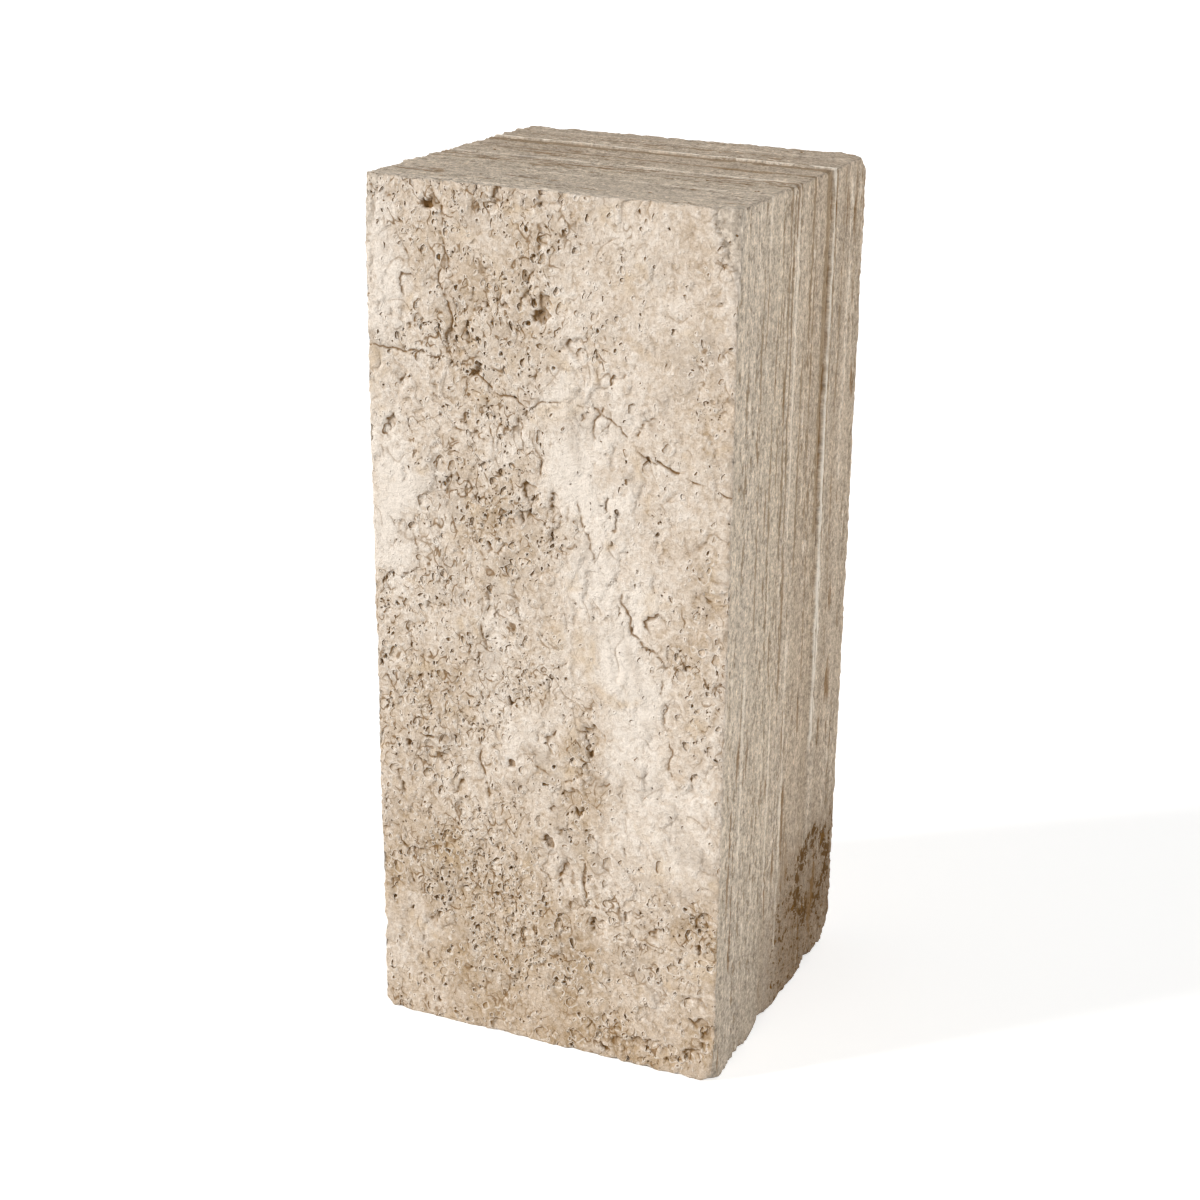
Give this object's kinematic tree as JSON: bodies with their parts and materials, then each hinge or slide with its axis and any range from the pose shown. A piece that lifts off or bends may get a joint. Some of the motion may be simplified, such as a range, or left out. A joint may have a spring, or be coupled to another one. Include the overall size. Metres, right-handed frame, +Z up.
{
  "type": "travertine pedestal block",
  "caption": "Solid travertine block standing on end, with sawn veined sides and a pitted weathered face, used as a pedestal, plinth or column base.",
  "frame": {"origin": "centre of the underside, on the floor", "axes": "+Z up along the height, -Y out of the pitted front face, +X to the right as seen from the front"},
  "size_m": [0.3, 0.282, 0.7],
  "materials": {
    "travertine": "matte"
  },
  "bodies": {
    "root": {"block": "travertine"}
  },
  "joints": []
}
